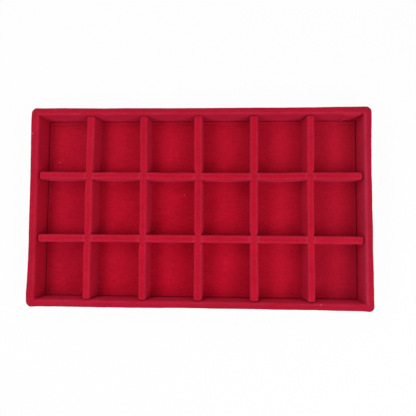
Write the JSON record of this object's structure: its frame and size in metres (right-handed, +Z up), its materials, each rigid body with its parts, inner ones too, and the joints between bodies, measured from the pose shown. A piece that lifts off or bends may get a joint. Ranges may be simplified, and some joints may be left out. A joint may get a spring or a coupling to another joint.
{
  "type": "jewelry display tray",
  "caption": "Shallow velvet-wrapped board tray with a velvet floor and a lift-out lattice of crossed velvet dividers that part it into equal open compartments.",
  "frame": {"origin": "centre of the underside, on the surface that the tray stands on", "axes": "+X along the tray's length, to the right as the picture shows it; +Y from the front wall (foot of the picture) to the back wall; +Z up, out of the open compartments"},
  "size_m": [0.35, 0.205, 0.032],
  "materials": {
    "crimson_velvet": "short-pile velvet, crimson red, soft sheen",
    "fibreboard": "plain medium-density fibreboard, hidden",
    "grey_card": "plain grey board, hidden apart from its cut lower edge",
    "lining_paper": "matt black lining paper"
  },
  "bodies": {
    "tray": {"underside_lining": "lining_paper", "base_board": "fibreboard", "wall_board_left": "fibreboard", "wall_board_right": "fibreboard", "wall_board_front": "fibreboard", "wall_board_back": "fibreboard", "velvet_wrap_left": "crimson_velvet", "velvet_wrap_right": "crimson_velvet", "velvet_wrap_front": "crimson_velvet", "velvet_wrap_back": "crimson_velvet", "floor_card": "grey_card", "floor_velvet": "crimson_velvet"},
    "divider_lattice": {"column_board_1": "grey_card", "column_board_2": "grey_card", "column_board_3": "grey_card", "column_board_4": "grey_card", "column_board_5": "grey_card", "column_velvet_1": "crimson_velvet", "column_velvet_2": "crimson_velvet", "column_velvet_3": "crimson_velvet", "column_velvet_4": "crimson_velvet", "column_velvet_5": "crimson_velvet", "row_board_1": "grey_card", "row_board_2": "grey_card", "row_velvet_1": "crimson_velvet", "row_velvet_2": "crimson_velvet"}
  },
  "joints": [
    {"name": "lattice_lift", "type": "slide", "parent": "tray", "child": "divider_lattice", "axis": [0, 0, 1], "range_m": [0, 0.04]}
  ]
}
